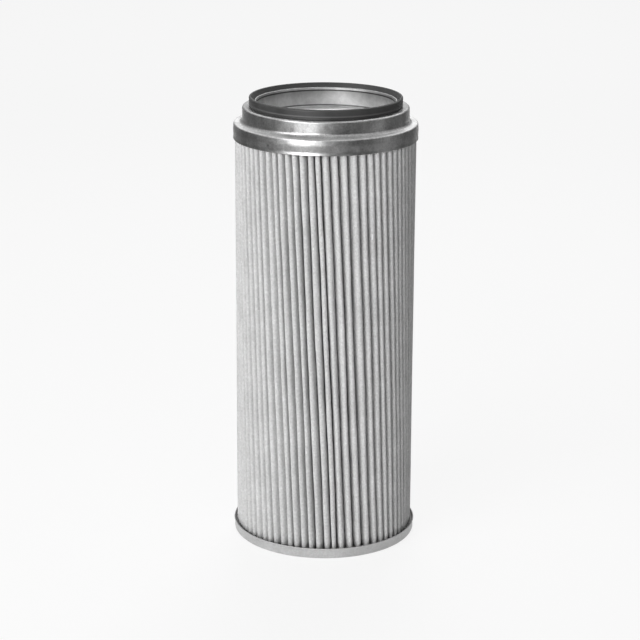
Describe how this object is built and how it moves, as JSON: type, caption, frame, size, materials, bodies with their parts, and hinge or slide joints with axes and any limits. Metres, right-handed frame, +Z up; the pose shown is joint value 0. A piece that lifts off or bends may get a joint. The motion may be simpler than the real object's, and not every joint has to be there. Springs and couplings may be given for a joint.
{
  "type": "pleated filter element",
  "caption": "Upright cylindrical filter element: pleated paper between pressed steel end caps, with a perforated core, an open neck and a rubber neck seal.",
  "frame": {"origin": "centre of the element's underside, on the surface it stands on", "axes": "+Z up along the element's axis, from the bottom end cap towards the neck; X and Y are alike"},
  "size_m": [0.095, 0.095, 0.23],
  "materials": {
    "plain_steel": "matt grey",
    "adhesive": "cured, slightly glossy",
    "core_steel": "satin",
    "filter_paper": "fibrous",
    "tinplate": "bright, mottled",
    "seal_rubber": "matt"
  },
  "bodies": {
    "root": {"bottom_end_cap": "plain_steel", "bottom_adhesive": "adhesive", "core_tube": "core_steel", "pleated_media": "filter_paper", "top_adhesive": "adhesive", "top_end_cap": "tinplate", "neck_collar": "tinplate", "neck_seal": "seal_rubber"}
  },
  "joints": []
}
